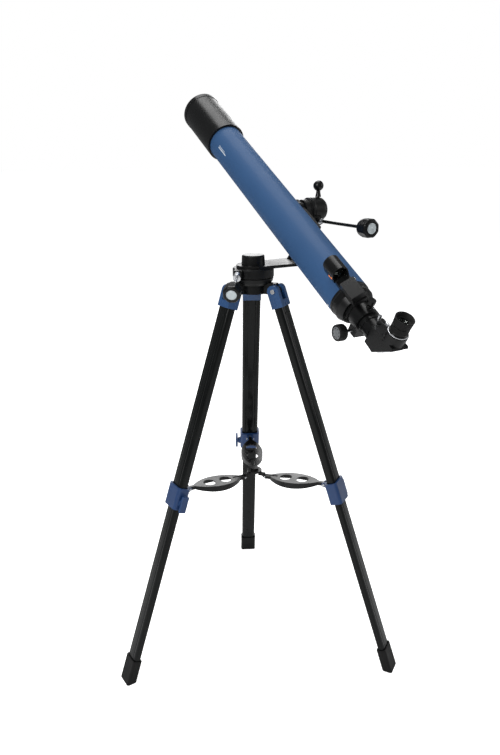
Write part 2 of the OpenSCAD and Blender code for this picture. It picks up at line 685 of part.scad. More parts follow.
// A spreader arm in its own frame: x runs from the leg's pivot towards the hub.
module arm_frame(k) {
  place() rotate(leg_turn + 120 * (k - 1)) translate([spread_r, 0, spread_z]) rotate([0, 0, 180])
    rotate([0, arm_tilt, 0]) children();
}
leaf_len = arm_len - 2 * leaf_in;
leaf_c = spread_w / 2 - 5.5;
leaf_r = (leaf_len * leaf_len / 4 + leaf_c * leaf_c) / (2 * leaf_c);
belly = 9;
belly_r = (leaf_len * leaf_len / 4 + 25) / 10;
hole_pitch = accessory_d + 13;
hole_shift = -1;
slot_len = 33;
prong_w = 11;
tongue_t = 4;
module leaf(inset) {
  intersection() {
    translate([leaf_in - 2 + inset, -spread_w]) square([leaf_len + 4 - 2 * inset, 2 * spread_w]);
    translate([arm_len / 2, leaf_r - spread_w / 2]) circle(r = leaf_r - inset, $fn = 128);
    translate([arm_len / 2, spread_w / 2 - leaf_r]) circle(r = leaf_r - inset, $fn = 128);
  }
}
module spreader_arm(k) {
  color(black) arm_frame(k) difference() {
    union() {
      difference() {
        intersection() {
          translate([0, 0, -belly]) linear_extrude(belly + 4) leaf(0);
          translate([arm_len / 2, spread_w, belly_r - belly]) rotate([90, 0, 0])
            cylinder(r = belly_r, h = 2 * spread_w, $fn = 256);
        }
        translate([0, 0, -belly - 1]) linear_extrude(belly + 2.5) leaf(2);
      }
      translate([0, -finger_w / 2, -finger_e]) cube([leaf_in + 4, finger_w, 2 * finger_e]);
      translate([0, finger_w / 2, 0]) rotate([90, 0, 0]) cylinder(r = finger_e, h = finger_w);
      translate([arm_len - leaf_in - 6, -prong_w / 2, -3.5]) cube([leaf_in + 6, prong_w, 7]);
      translate([arm_len, prong_w / 2, 0]) rotate([90, 0, 0]) cylinder(r = 3.5, h = prong_w);
    }
    translate([arm_len - slot_len, -tongue_t / 2 - gap, -20]) cube([2 * slot_len, tongue_t + 2 * gap, 40]);
    for (y = [-1, 1]) translate([arm_len + 3.5, 0, -10]) linear_extrude(20)
      polygon([[0, 0], [-7.2, y * 6], [9, y * 6], [9, 0]]);
    for (x = [-1, 1]) translate([arm_len / 2 + hole_shift + x * hole_pitch / 2, 0, -20]) cylinder(r = accessory_d / 2, h = 40);
    translate([0, 20, 0]) rotate([90, 0, 0]) cylinder(r = 2 + run, h = 40);
  }
}
module spreader_hub() {
  color(black) place() translate([0, 0, hub_z]) {
    translate([0, 0, 7]) cylinder(r = 16, h = 4);
    translate([0, 0, 10]) cylinder(r = 9, h = 6);
    for (k = [0:2]) rotate(leg_turn + 120 * k) {
      translate([10, -tongue_t / 2, 0]) cube([hub_r - 8, tongue_t, 8.4]);
      translate([hub_r, tongue_t / 2, 0]) rotate([90, 0, 0]) cylinder(r = 3.5, h = tongue_t);
    }
  }
}

tripod_head();
azimuth_spindle();
leg_pins();
mount_arm();
azimuth_cap();
azimuth_wheel();
altitude_drum();
arm_screws();
azimuth_worm();
azimuth_rod();
azimuth_knob();
altitude_worm();
altitude_knob();
altitude_lock();
altitude_axle();
cradle();
main_tube();
dew_shield();
objective_cell();
objective_lens();
lens_ring();
rear_cell();
focuser_housing();
pinion_shaft();
focus_knobs();
draw_lock();
drawtube();
eyepiece_holder();
holder_screw();
diagonal_body();
diagonal_mirror();
diagonal_screw();
eyepiece_body();
eyepiece_lenses();
eyecup();
finder_base();
finder_body();
finder_dial();
leg_yoke(1);  // leg_yoke_1
leg_yoke(2);  // leg_yoke_2
leg_yoke(3);  // leg_yoke_3
upper_leg(1);  // upper_leg_1
upper_leg(2);  // upper_leg_2
upper_leg(3);  // upper_leg_3
leg_collar(1);  // leg_collar_1
leg_collar(2);  // leg_collar_2
leg_collar(3);  // leg_collar_3
leg_lock(1);  // leg_lock_1
leg_lock(2);  // leg_lock_2
leg_lock(3);  // leg_lock_3
lower_leg(1);  // lower_leg_1
lower_leg(2);  // lower_leg_2
lower_leg(3);  // lower_leg_3
foot(1);  // foot_1
foot(2);  // foot_2
foot(3);  // foot_3
spreader_hub();
spreader_arm(1);  // spreader_arm_1
spreader_arm(2);  // spreader_arm_2
spreader_arm(3);  // spreader_arm_3
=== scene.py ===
import json
import math

import bmesh
import bpy
import numpy as np
from mathutils import Matrix, Vector


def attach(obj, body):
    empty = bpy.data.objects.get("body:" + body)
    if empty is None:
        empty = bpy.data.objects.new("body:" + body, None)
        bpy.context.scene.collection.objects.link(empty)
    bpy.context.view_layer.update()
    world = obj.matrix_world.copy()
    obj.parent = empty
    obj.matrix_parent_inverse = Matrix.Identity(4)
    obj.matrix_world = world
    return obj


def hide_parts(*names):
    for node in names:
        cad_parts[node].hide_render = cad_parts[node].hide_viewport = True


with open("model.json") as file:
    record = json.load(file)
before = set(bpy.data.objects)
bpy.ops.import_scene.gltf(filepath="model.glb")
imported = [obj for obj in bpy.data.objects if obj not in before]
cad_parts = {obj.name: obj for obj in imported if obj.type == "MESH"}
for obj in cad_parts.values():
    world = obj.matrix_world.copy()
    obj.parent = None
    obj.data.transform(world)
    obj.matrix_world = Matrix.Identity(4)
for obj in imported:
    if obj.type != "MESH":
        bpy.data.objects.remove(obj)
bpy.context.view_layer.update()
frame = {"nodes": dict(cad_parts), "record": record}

bl_info = {
    "name": "Refractor telescope looks",
    "version": (1, 0, 0),
    "blender": (4, 5, 0),
    "location": "3D View > Sidebar > Telescope",
    "description": "Finishes and fine surface pieces for a refractor telescope on a tripod",
    "category": "Add Mesh",
}

MM = 0.001
SHARP_EDGE = math.radians(35)

# The same lengths as the solid model, in millimetres, in its mount frame: the azimuth axis is x = y = 0.
CENTRE = (-70.862, -11.890)

# Tube: its axis leans by ALTITUDE through PIVOT. Lengths along it count from there, forwards.
ALTITUDE = math.radians(29.5)
PIVOT = (62.7, 0.0, 961.0)
TUBE_R = 38.0
TUBE_REAR = 270.0
CELL_SCREW_S = -TUBE_REAR + 8
HOUSING_SCREW_S, HOUSING_SCREW_R = -326, 24.0
PINION = (-324.0, -26.0)
FOCUS_KNOB_OUT = 34
MIRROR_S = -402.0

# Finder: its foot is turned about the tube's axis by FINDER_TURN.
FINDER_TURN = math.radians(33)
FINDER_FRONT = -226.0
FINDER_LEN = 98.0
FINDER_UP = 21
# Each lamp: how far behind the finder's front, and how far above the tube.
LAMP_SIDE, LAMPS = -15.0, ((19, 13.0), (27, 15.5))
DIAL_SIDE, DIAL_IN, DIAL_UP = 13.2, 12, 20

# Mount: the two control rods and the arm.
AZIMUTH_BALL = (-50.387, -27.143, 846.4)
WORM_TURN = math.radians(-127)
DROOP = math.radians(18)
AZIMUTH_KNOB_START = 46.0
WHEEL_MID = 136.7
WORM_Z = 941.1
SLEEVE_START, SLEEVE_END = 46, 168.2
ROD_END = 168.0
ARM_X = 112.7
DISC_TOP = 861.2

# Legs: each hinges at HINGE_R, HINGE_H and splays by SPLAY. Lengths count down from the hinge.
HINGE_R, HINGE_H = 51.4, 812.8
LEG_TURN = -55.6
FOOT_R = 328
SPLAY = math.atan((FOOT_R - HINGE_R) / HINGE_H)
LEG_LEN = HINGE_H / math.cos(SPLAY)
LEG_START = 34.0
UPPER_W, UPPER_D, UPPER_END = 38.0, 20.0, 454.9
LOWER_W, LOWER_D, LOWER_START = 34.0, 16.0, 394.9
FOOT_GRIP = 26

# Spreader: its pivot on the leg, that pivot's place at rest, and the arm.
SPREAD_U, SPREAD_IN = 418.0, 22.0
SPREAD_R, SPREAD_Z = 165.2365, 409.998
ARM_LEN, ARM_TILT = 141.8335, math.radians(5.2589)


class TelescopeColours(bpy.types.PropertyGroup):
    """Colours of the main finishes and of the floor"""
    tube: bpy.props.FloatVectorProperty(name="Tube", description="Paint of the main tube", subtype="COLOR",
                                        size=3, min=0, max=1, default=(0.033, 0.092, 0.215))
    yoke: bpy.props.FloatVectorProperty(name="Yokes", description="Moulding at the top of each leg",
                                        subtype="COLOR", size=3, min=0, max=1, default=(0.022, 0.075, 0.20))
    collar: bpy.props.FloatVectorProperty(name="Collars", description="Clamps on the legs", subtype="COLOR",
                                          size=3, min=0, max=1, default=(0.010, 0.045, 0.15))
    black: bpy.props.FloatVectorProperty(name="Black", description="Mouldings and castings", subtype="COLOR",
                                         size=3, min=0, max=1, default=(0.0048, 0.0050, 0.0052))
    leg: bpy.props.FloatVectorProperty(name="Legs", description="Paint of the leg sections", subtype="COLOR",
                                       size=3, min=0, max=1, default=(0.0040, 0.0048, 0.0046))
    floor: bpy.props.FloatVectorProperty(name="Floor", description="Colour of the floor", subtype="COLOR",
                                         size=3, min=0, max=1, default=(0.90, 0.90, 0.90))


class TelescopeSizes(bpy.types.PropertyGroup):
    """Sizes of the fine pieces and of the lights"""
    slow_knob: bpy.props.FloatProperty(name="Slow-motion knobs", description="Radius of a slow-motion knob",
                                       unit="LENGTH", default=0.018, min=0.014, max=0.022)
    focus_knob: bpy.props.FloatProperty(name="Focus knobs", description="Radius of a focus knob",
                                        unit="LENGTH", default=0.015, min=0.012, max=0.018)
    rivet: bpy.props.FloatProperty(name="Rivets", description="Radius of a rivet on a leg",
                                   unit="LENGTH", default=0.0024, min=0.001, max=0.004)
    softbox: bpy.props.FloatProperty(name="Softbox", description="Side of the main light",
                                     unit="LENGTH", default=1.6, min=0.5, max=4.0)


# ---------------------------------------------------------------------------------------- frames and meshes

def basis(origin, x, y, z):
    """A 4x4 frame in millimetres whose columns are three unit directions and an origin in the mount frame."""
    m = np.eye(4)
    m[:3, 0], m[:3, 1], m[:3, 2], m[:3, 3] = x, y, z, origin
    return m


def along(frame_mm, point, direction):
    """A frame at a point of another frame whose Z runs along a direction given in that frame."""
    z = np.array(direction, float)
    z /= np.linalg.norm(z)
    side = np.array((0.0, 0.0, 1.0)) if abs(z[2]) < 0.9 else np.array((1.0, 0.0, 0.0))
    x = np.cross(side, z)
    x /= np.linalg.norm(x)
    return frame_mm @ basis(point, x, np.cross(z, x), z)


def turn_z(angle):
    """Rotation about Z as a 4x4."""
    c, s = math.cos(angle), math.sin(angle)
    return basis((0, 0, 0), (c, s, 0), (-s, c, 0), (0, 0, 1))


def turn_y(angle):
    """Rotation about Y as a 4x4."""
    c, s = math.cos(angle), math.sin(angle)
    return basis((0, 0, 0), (c, 0, -s), (0, 1, 0), (s, 0, c))


def shift(x, y, z):
    """Translation as a 4x4."""
    return basis((x, y, z), (1, 0, 0), (0, 1, 0), (0, 0, 1))


MOUNT = np.eye(4)
TUBE = basis(PIVOT, (1, 0, 0), (0, math.cos(ALTITUDE), math.sin(ALTITUDE)),
             (0, -math.sin(ALTITUDE), math.cos(ALTITUDE)))
FINDER = TUBE @ turn_y(-FINDER_TURN)
AZIMUTH_ROD = along(MOUNT, AZIMUTH_BALL, (math.cos(WORM_TURN) * math.cos(DROOP),
                                          math.sin(WORM_TURN) * math.cos(DROOP), -math.sin(DROOP)))
ALTITUDE_ROD = along(MOUNT, (WHEEL_MID, 0, WORM_Z), (0, -1, 0))


def leg_frame(k):
    """Frame of leg k: Z up the leg, X away from the azimuth axis, Y tangential."""
    return turn_z(math.radians(LEG_TURN + 120 * (k - 1))) @ shift(HINGE_R, 0, HINGE_H) @ turn_y(-SPLAY)


def spreader_frame(k):
    """Frame of spreader arm k: X from its leg pivot towards the hub."""
    return (turn_z(math.radians(LEG_TURN + 120 * (k - 1))) @ shift(SPREAD_R, 0, SPREAD_Z) @ turn_z(math.pi)
            @ turn_y(ARM_TILT))


def placed(points, frame_mm):
    """Points of a frame in millimetres, moved to the row frame in metres."""
    world = points @ frame_mm[:3, :3].T + frame_mm[:3, 3]
    return (world - np.array((CENTRE[0], CENTRE[1], 0.0))) * MM


def lathe(profile, turns=96, lobes=0, depth=0.0, sharp=1.0):
    """Surface of revolution about Z: each (radius, z, weight) row is a circle whose radius loses
    depth x weight x ((1 + cos(lobes x angle)) / 2) to the power sharp."""
    p = np.array([row if len(row) == 3 else (*row, 0.0) for row in profile], float)
    a = np.linspace(0, 2 * np.pi, turns, endpoint=False)
    dip = depth * ((1 + np.cos(lobes * a)) / 2) ** sharp
    r = p[:, :1] - p[:, 2:] * dip
    return np.stack([r * np.cos(a), r * np.sin(a), np.broadcast_to(p[:, 1:2], r.shape)], axis=-1)


def dome(radius, height, turns=20, rows=6):
    """A rivet head: radius x cos(t) against height x sin(t), with a short straight foot sunk below it."""
    foot = -0.4
    t = np.linspace(0, np.pi / 2, rows, endpoint=False)
    return lathe([(radius, foot)] + list(zip(radius * np.cos(t), height * np.sin(t))), turns)


def rounded_outline(w, d, power, count):
    """Closed outline |x / (w/2)|^power + |y / (d/2)|^power = 1."""
    a = np.linspace(0, 2 * np.pi, count, endpoint=False)
    c, s = np.cos(a), np.sin(a)
    return np.stack([w / 2 * np.sign(c) * np.abs(c) ** (2 / power),
                     d / 2 * np.sign(s) * np.abs(s) ** (2 / power)], -1)


def prism_rows(outlines, heights):
    """One closed row of points for each outline, each at its own height."""
    return np.stack([np.concatenate([o, np.full((len(o), 1), h)], axis=1) for o, h in zip(outlines, heights)])


def build(name, parts, material, body, replaces=()):
    """One mesh from grids (rows, columns, 3): columns wrap round, and rows either wrap too ("ring") or end
    in a fan at each end ("solid"). It rides on a body of the frame."""
    verts, faces, base = [], [], 0
    for grid, kind, frame_mm in parts:
        rows, cols = grid.shape[:2]
        verts.append(placed(grid.reshape(-1, 3), frame_mm))
        i = np.arange(rows if kind == "ring" else rows - 1)[:, None]
        j = np.arange(cols)[None, :]
        i2, j2 = (i + 1) % rows, (j + 1) % cols
        quads = np.stack([i * cols + j, i * cols + j2, i2 * cols + j2, i2 * cols + j], -1)
        faces += (quads.reshape(-1, 4) + base).tolist()
        count = rows * cols
        if kind == "solid":
            ends = np.stack([grid[0].mean(0), grid[-1].mean(0)])
            verts.append(placed(ends, frame_mm))
            c = np.arange(cols)
            low = np.stack([c, (c + 1) % cols, np.full(cols, count)], -1) + base
            last = (rows - 1) * cols
            high = np.stack([last + (c + 1) % cols, last + c, np.full(cols, count + 1)], -1) + base
            faces += low.tolist() + high.tolist()
            count += 2
        base += count
    mesh = bpy.data.meshes.new(name)
    mesh.from_pydata(np.concatenate(verts).tolist(), [], faces)
    bm = bmesh.new()
    bm.from_mesh(mesh)
    bmesh.ops.recalc_face_normals(bm, faces=bm.faces)
    bm.to_mesh(mesh)
    bm.free()
    mesh.polygons.foreach_set("use_smooth", [True] * len(mesh.polygons))
    mesh.set_sharp_from_angle(angle=SHARP_EDGE)
    mesh.materials.append(material)
    obj = bpy.data.objects.new(name, mesh)
    bpy.context.scene.collection.objects.link(obj)
    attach(obj, body)
    if replaces:
        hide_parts(*replaces)
    return obj


# ---------------------------------------------------------------------------------------------- materials

BEVEL_SAMPLES = 4
NOISE_RANGE = (0.3, 0.7)
DUST_COLOUR = (0.16, 0.16, 0.155)
COAT_ROUGH = 0.12
SCUFF_ROUGH, DUST_ROUGH = 0.12, 0.5


def node_group(name, inputs, outputs):
    """A shader group with named sockets and its input and output nodes."""
    tree = bpy.data.node_groups.new(name, "ShaderNodeTree")
    for label, kind, value in inputs:
        socket = tree.interface.new_socket(name=label, in_out="INPUT", socket_type=kind)
        if value is not None:
            socket.default_value = value
    for label, kind in outputs:
        tree.interface.new_socket(name=label, in_out="OUTPUT", socket_type=kind)
    return tree, tree.nodes.new("NodeGroupInput"), tree.nodes.new("NodeGroupOutput")


def math_node(tree, operation, a, b=None, clamp=False):
    """A Math node with sockets or numbers as its operands; returns its output."""
    n = tree.nodes.new("ShaderNodeMath")
    n.operation = operation
    n.use_clamp = clamp
    for socket, value in zip(n.inputs, (a, b)):
        if value is None:
            continue
        if isinstance(value, (int, float)):
            socket.default_value = value
        else:
            tree.links.new(value, socket)
    return n.outputs[0]


def excess(tree, a, b, gain):
    """How far a lies above b, times a gain, kept between 0 and 1."""
    return math_node(tree, "MULTIPLY", math_node(tree, "SUBTRACT", a, b), gain, True)


def noise(tree, vector, scale, detail=3.0, rough=0.55):
    """A Noise texture; returns its Factor output."""
    n = tree.nodes.new("ShaderNodeTexNoise")
    for key, value in (("Scale", scale), ("Detail", detail), ("Roughness", rough)):
        if isinstance(value, (int, float)):
            n.inputs[key].default_value = value
        else:
            tree.links.new(value, n.inputs[key])
    tree.links.new(vector, n.inputs["Vector"])
    return n.outputs["Fac"]


def make_edge_wear():
    """Mask of rubbed edges: how far the rounded normal leans from the true one, broken up by noise."""
    tree, inp, out = node_group("edge_wear", [("Vector", "NodeSocketVector", None),
                                              ("Width", "NodeSocketFloat", 0.0006),
                                              ("Amount", "NodeSocketFloat", 1.0)],
                                [("Mask", "NodeSocketFloat")])
    bevel = tree.nodes.new("ShaderNodeBevel")
    bevel.samples = BEVEL_SAMPLES
    tree.links.new(inp.outputs["Width"], bevel.inputs["Radius"])
    geo = tree.nodes.new("ShaderNodeNewGeometry")
    dot = tree.nodes.new("ShaderNodeVectorMath")
    dot.operation = "DOT_PRODUCT"
    tree.links.new(bevel.outputs[0], dot.inputs[0])
    tree.links.new(geo.outputs["Normal"], dot.inputs[1])
    lean = excess(tree, 1.0, dot.outputs["Value"], 6.0)
    patch = excess(tree, noise(tree, inp.outputs["Vector"], 160.0), 0.42, 5.0)
    worn = math_node(tree, "MULTIPLY", lean, patch)
    tree.links.new(math_node(tree, "MULTIPLY", worn, inp.outputs["Amount"], True), out.inputs["Mask"])
    return tree


def make_surface_grain():
    """Slow tone changes, a fine grain and faint scuffs for any paint or moulding."""
    tree, inp, out = node_group("surface_grain", [("Vector", "NodeSocketVector", None),
                                                  ("Grain Scale", "NodeSocketFloat", 900.0),
                                                  ("Tone Scale", "NodeSocketFloat", 14.0)],
                                [("Grain", "NodeSocketFloat"), ("Tone", "NodeSocketFloat"),
                                 ("Scuff", "NodeSocketFloat")])
    v = inp.outputs["Vector"]
    tree.links.new(noise(tree, v, inp.outputs["Grain Scale"], 2.0), out.inputs["Grain"])
    tree.links.new(noise(tree, v, inp.outputs["Tone Scale"], 4.0), out.inputs["Tone"])
    stretched = tree.nodes.new("ShaderNodeMapping")
    stretched.inputs["Scale"].default_value = (60.0, 420.0, 90.0)
    stretched.inputs["Rotation"].default_value = (0.4, 0.9, 0.3)
    tree.links.new(v, stretched.inputs["Vector"])
    thin = noise(tree, stretched.outputs[0], 1.0, 2.0)
    tree.links.new(excess(tree, thin, 0.66, 9.0), out.inputs["Scuff"])
    return tree


def make_dust():
    """Mask of light dust on faces that look up, in soft patches."""
    tree, inp, out = node_group("settled_dust", [("Vector", "NodeSocketVector", None),
                                                 ("Amount", "NodeSocketFloat", 0.2)],
                                [("Mask", "NodeSocketFloat")])
    geo = tree.nodes.new("ShaderNodeNewGeometry")
    xyz = tree.nodes.new("ShaderNodeSeparateXYZ")
    tree.links.new(geo.outputs["Normal"], xyz.inputs[0])
    up = excess(tree, xyz.outputs["Z"], 0.55, 2.2)
    cloud = excess(tree, noise(tree, inp.outputs["Vector"], 55.0, 5.0, 0.7), 0.35, 2.0)
    settled = math_node(tree, "MULTIPLY", up, cloud)
    tree.links.new(math_node(tree, "MULTIPLY", settled, inp.outputs["Amount"], True), out.inputs["Mask"])
    return tree


GROUPS = {}


def group_node(tree, key, vector, **values):
    """Places a shared group, made on first use, with its own values."""
    if key not in GROUPS:
        GROUPS[key] = {"edge": make_edge_wear, "grain": make_surface_grain, "dust": make_dust}[key]()
    n = tree.nodes.new("ShaderNodeGroup")
    n.node_tree = GROUPS[key]
    tree.links.new(vector, n.inputs["Vector"])
    for label, value in values.items():
        n.inputs[label.replace("_", " ")].default_value = value
    return n


def mix_colour(tree, factor, a, b):
    """A colour mix; a and b are sockets or colours."""
    n = tree.nodes.new("ShaderNodeMix")
    n.data_type = "RGBA"
    tree.links.new(factor, n.inputs["Factor"])
    for socket, value in ((n.inputs["A"], a), (n.inputs["B"], b)):
        if isinstance(value, (tuple, list)):
            socket.default_value = (*value[:3], 1.0)
        else:
            tree.links.new(value, socket)
    return n.outputs["Result"]


def map_range(tree, value, low, high):
    """Maps the usual range of a noise onto low..high."""
    n = tree.nodes.new("ShaderNodeMapRange")
    n.inputs["From Min"].default_value, n.inputs["From Max"].default_value = NOISE_RANGE
    n.inputs["To Min"].default_value, n.inputs["To Max"].default_value = low, high
    tree.links.new(value, n.inputs["Value"])
    return n.outputs[0]


def finish(name, colour, rough, metallic=0.0, grain=900.0, bump=0.00002, tone=0.16, spread=0.08, wear=0.35,
           wear_colour=(0.10, 0.10, 0.10), dust=0.10, coat=0.0, edge=0.0005, scuff=0.10, turned=None,
           shine=0.5):
    """A painted, moulded or metal finish: tone patches in the colour, roughness that varies with them, a
    fine relief, rubbed edges, faint scuffs and a little dust. turned = (direction, rings per metre) adds
    lathe rings: a wave along a direction."""
    mat = bpy.data.materials.new(name)
    mat.use_nodes = True
    tree = mat.node_tree
    shader = tree.nodes["Principled BSDF"]
    coords = tree.nodes.new("ShaderNodeTexCoord").outputs["Object"]
    g = group_node(tree, "grain", coords, Grain_Scale=grain)
    w = group_node(tree, "edge", coords, Width=edge, Amount=wear)
    d = group_node(tree, "dust", coords, Amount=dust)
    light = tuple(min(1.0, c * (1 + tone) + 0.0006) for c in colour)
    dark = tuple(c * (1 - tone) for c in colour)
    body = mix_colour(tree, g.outputs["Tone"], dark, light)
    body = mix_colour(tree, w.outputs["Mask"], body, wear_colour)
    scratch = tuple(min(1, c * 1.6 + 0.006) for c in colour)
    body = mix_colour(tree, math_node(tree, "MULTIPLY", g.outputs["Scuff"], scuff), body, scratch)
    body = mix_colour(tree, d.outputs["Mask"], body, DUST_COLOUR)
    tree.links.new(body, shader.inputs["Base Color"])
    roughness = map_range(tree, g.outputs["Tone"], max(0.02, rough - spread), rough + spread)
    scuffed = math_node(tree, "MULTIPLY", g.outputs["Scuff"], SCUFF_ROUGH)
    dusty = math_node(tree, "MULTIPLY", d.outputs["Mask"], DUST_ROUGH)
    roughness = math_node(tree, "ADD", math_node(tree, "ADD", roughness, scuffed), dusty, True)
    tree.links.new(roughness, shader.inputs["Roughness"])
    shader.inputs["Metallic"].default_value = metallic
    shader.inputs["Specular IOR Level"].default_value = shine
    shader.inputs["Coat Weight"].default_value = coat
    shader.inputs["Coat Roughness"].default_value = COAT_ROUGH
    height = g.outputs["Grain"]
    if turned:
        line = tree.nodes.new("ShaderNodeVectorMath")
        line.operation = "DOT_PRODUCT"
        line.inputs[1].default_value = turned[0]
        tree.links.new(coords, line.inputs[0])
        phase = math_node(tree, "MULTIPLY", line.outputs["Value"], turned[1] * 2 * math.pi)
        rings = math_node(tree, "SINE", phase)
        height = math_node(tree, "ADD", height, math_node(tree, "MULTIPLY", rings, 0.5))
    rounded = tree.nodes.new("ShaderNodeBevel")
    rounded.samples = BEVEL_SAMPLES
    rounded.inputs["Radius"].default_value = edge
    relief = tree.nodes.new("ShaderNodeBump")
    relief.inputs["Distance"].default_value = bump
    relief.inputs["Strength"].default_value = 1.0
    tree.links.new(height, relief.inputs["Height"])
    tree.links.new(rounded.outputs[0], relief.inputs["Normal"])
    tree.links.new(relief.outputs[0], shader.inputs["Normal"])
    return mat


def tube_paint(name, colour):
    """Satin blue paint with a fine metallic fleck under a thin clear coat."""
    mat = finish(name, colour, 0.60, grain=700.0, bump=0.000012, tone=0.06, spread=0.05, wear=0.10,
                 wear_colour=(0.25, 0.30, 0.38), dust=0.03, coat=0.04, scuff=0.04, shine=0.22)
    tree = mat.node_tree
    shader = tree.nodes["Principled BSDF"]
    coords = tree.nodes.new("ShaderNodeTexCoord").outputs["Object"]
    fleck = tree.nodes.new("ShaderNodeTexVoronoi")
    fleck.inputs["Scale"].default_value = 2600.0
    tree.links.new(coords, fleck.inputs["Vector"])
    spark = excess(tree, 0.34, fleck.outputs["Distance"], 3.0)
    base = shader.inputs["Base Color"].links[0].from_socket
    flecked = mix_colour(tree, math_node(tree, "MULTIPLY", spark, 0.18), base, (0.16, 0.30, 0.55))
    tree.links.new(flecked, shader.inputs["Base Color"])
    tree.links.new(math_node(tree, "MULTIPLY", spark, 0.35), shader.inputs["Metallic"])
    return mat


def coated_glass(name, painted_reflection_tint, rough=0.02):
    """Lens glass whose colour turns from near white to the reflection tint towards grazing view angles, a
    painted reflection of its coloured coating, with specks of dust.
    """
    mat = bpy.data.materials.new(name)
    mat.use_nodes = True
    tree = mat.node_tree
    shader = tree.nodes["Principled BSDF"]
    coords = tree.nodes.new("ShaderNodeTexCoord").outputs["Object"]
    # Painted reflection: the colour shifts to the tint where the surface turns away from the view, standing
    # in for the coating's coloured reflection.
    facing = tree.nodes.new("ShaderNodeLayerWeight")
    facing.inputs["Blend"].default_value = 0.35
    coating_painted_reflection = mix_colour(tree, facing.outputs["Facing"], (0.92, 0.97, 0.95), painted_reflection_tint)
    tree.links.new(coating_painted_reflection, shader.inputs["Base Color"])
    specks = map_range(tree, noise(tree, coords, 220.0, 4.0), rough, rough + 0.05)
    tree.links.new(specks, shader.inputs["Roughness"])
    shader.inputs["Transmission Weight"].default_value = 1.0
    shader.inputs["IOR"].default_value = 1.52
    return mat


LOOKS = {}


def plain_finishes(c):
    black, leg = tuple(c.black), tuple(c.leg)
    rubbed, bare = (0.03, 0.03, 0.03), (0.035, 0.035, 0.035)
    tube_way = (0, math.cos(ALTITUDE), math.sin(ALTITUDE))
    return {
        "yoke_blue": dict(colour=tuple(c.yoke), rough=0.24, grain=1100, bump=0.00003, wear=0.25,
                          wear_colour=(0.15, 0.22, 0.36), coat=0.1),
        "collar_blue": dict(colour=tuple(c.collar), rough=0.36, grain=1100, bump=0.00003, wear=0.3,
                            wear_colour=(0.10, 0.17, 0.32), coat=0.08),
        "rubber": dict(colour=(0.006, 0.006, 0.006), rough=0.62, grain=1500, bump=0.00008, wear=0.25,
                       wear_colour=rubbed, dust=0.06, shine=0.22),
        "leg_paint": dict(colour=leg, rough=0.20, grain=480, bump=0.000008, wear=0.2, wear_colour=rubbed,
                          dust=0.004, scuff=0.10, shine=0.22),
        "lower_leg_paint": dict(colour=leg, rough=0.26, grain=520, bump=0.000010, wear=0.25,
                                wear_colour=rubbed, scuff=0.14, dust=0.006, shine=0.2),
        "steel": dict(colour=(0.62, 0.63, 0.65), rough=0.22, metallic=1.0, grain=1600, bump=0.00001,
                      tone=0.10, wear=0.1, wear_colour=(0.8, 0.8, 0.8), dust=0.05),
        "brass": dict(colour=(0.60, 0.42, 0.16), rough=0.30, metallic=1.0, grain=1600, bump=0.00001,
                      wear=0.2, wear_colour=(0.85, 0.7, 0.4)),
        "mirror": dict(colour=(0.90, 0.91, 0.93), rough=0.04, metallic=1.0, grain=2000, bump=0.0,
                       tone=0.01, spread=0.01, wear=0.0, dust=0.02, scuff=0.0),
        "cast_black": dict(colour=black, rough=0.36, grain=650, bump=0.00010, wear=0.35,
                           wear_colour=(0.04, 0.04, 0.04), dust=0.02, shine=0.25),
        "satin_black": dict(colour=black, rough=0.32, grain=1300, bump=0.00003, wear=0.3, wear_colour=bare,
                            dust=0.02, shine=0.28, turned=(tube_way, 900.0)),
        "moulded_black": dict(colour=black, rough=0.26, grain=1200, bump=0.00004, wear=0.3,
                              wear_colour=bare, dust=0.02, shine=0.28),
        "knob_grey": dict(colour=(0.20, 0.21, 0.22), rough=0.38, metallic=0.4, grain=1400, bump=0.00003,
                          wear=0.4, wear_colour=(0.5, 0.5, 0.5)),
        "plate_silver": dict(colour=(0.62, 0.68, 0.70), rough=0.34, metallic=0.35, grain=1500,
                             bump=0.00002, tone=0.08, wear=0.2, wear_colour=(0.9, 0.9, 0.9), dust=0.03),
        "white_print": dict(colour=(0.66, 0.72, 0.78), rough=0.45, grain=1400, bump=0.00001, tone=0.04,
                            wear=0.1, wear_colour=(0.5, 0.6, 0.7), dust=0.02),
        # The amber finish also gets a faint painted glow, which is set in make_looks.
        "amber": dict(colour=(0.75, 0.20, 0.02), rough=0.14, grain=900, bump=0.00001, tone=0.2, wear=0.0,
                      dust=0.03, coat=0.8),
    }


def make_looks():
    """All finishes of the telescope by slot or by trim name."""
    colours = bpy.context.scene.telescope_colours
    LOOKS["tube_paint"] = tube_paint("tube_paint", tuple(colours.tube))
    # The second colour is the painted reflection tint of the lens coating.
    LOOKS["glass"] = coated_glass("glass", (0.45, 0.60, 0.42))
    for name, values in plain_finishes(colours).items():
        LOOKS[name] = finish(name, **values)
    # Painted glow: the amber finish gets a faint emission, so the finder's amber pieces look brighter than
    # their lighting makes them.
    amber_painted_glow = LOOKS["amber"].node_tree.nodes["Principled BSDF"]
    amber_painted_glow.inputs["Emission Color"].default_value = (0.9, 0.22, 0.02, 1)
    amber_painted_glow.inputs["Emission Strength"].default_value = 0.35


# ---------------------------------------------------------------------------------------------- operators

class TELESCOPE_OT_finishes(bpy.types.Operator):
    """Gives every carried-over solid the finish of its material slot"""
    bl_idname = "telescope.finishes"
    bl_label = "Finishes"

    def execute(self, context):
        make_looks()
        for entry in frame["record"]["subparts"]:
            obj = frame["nodes"][entry["node"]]
            look = LOOKS[entry["material_slot"]]
            if not obj.material_slots:
                obj.data.materials.append(look)
            for place in obj.material_slots:
                place.material = look
        return {"FINISHED"}


